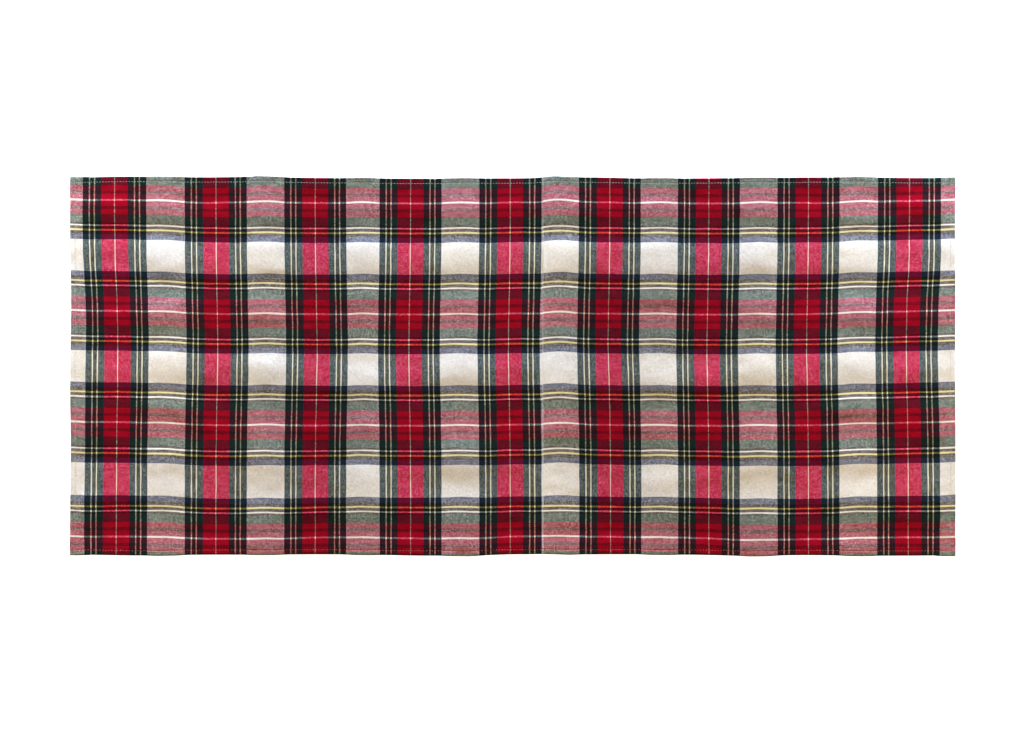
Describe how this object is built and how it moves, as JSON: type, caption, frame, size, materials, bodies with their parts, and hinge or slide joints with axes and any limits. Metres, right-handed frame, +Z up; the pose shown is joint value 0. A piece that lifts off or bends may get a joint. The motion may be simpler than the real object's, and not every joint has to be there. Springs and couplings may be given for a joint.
{
  "type": "table runner",
  "caption": "Long narrow tartan table runner in brushed cotton twill, with a double-turned, lockstitched hem on every side and a fold crease across it.",
  "frame": {"origin": "middle of the underside, on the table", "axes": "+X along the runner, +Y across it, +Z up out of its face"},
  "size_m": [0.914, 0.39, 0.0022],
  "materials": {
    "tartan_cloth": "brushed cotton twill, matt, soft nap",
    "sewing_thread": "off-white spun thread, matt"
  },
  "bodies": {
    "left_half": {"panel_left": "tartan_cloth", "hem_front_left": "tartan_cloth", "hem_back_left": "tartan_cloth", "hem_end_left": "tartan_cloth", "needle_thread_front_left": "sewing_thread", "needle_thread_back_left": "sewing_thread", "needle_thread_end_left": "sewing_thread", "bobbin_thread_front_left": "sewing_thread", "bobbin_thread_back_left": "sewing_thread", "bobbin_thread_end_left": "sewing_thread"},
    "right_half": {"panel_right": "tartan_cloth", "hem_front_right": "tartan_cloth", "hem_back_right": "tartan_cloth", "hem_end_right": "tartan_cloth", "needle_thread_front_right": "sewing_thread", "needle_thread_back_right": "sewing_thread", "needle_thread_end_right": "sewing_thread", "bobbin_thread_front_right": "sewing_thread", "bobbin_thread_back_right": "sewing_thread", "bobbin_thread_end_right": "sewing_thread"}
  },
  "joints": [
    {"name": "crease_fold", "type": "hinge", "parent": "left_half", "child": "right_half", "pos_m": [0.03108, 0, 0.00335], "axis": [0, -1, 0], "range_deg": [0, 180]}
  ]
}
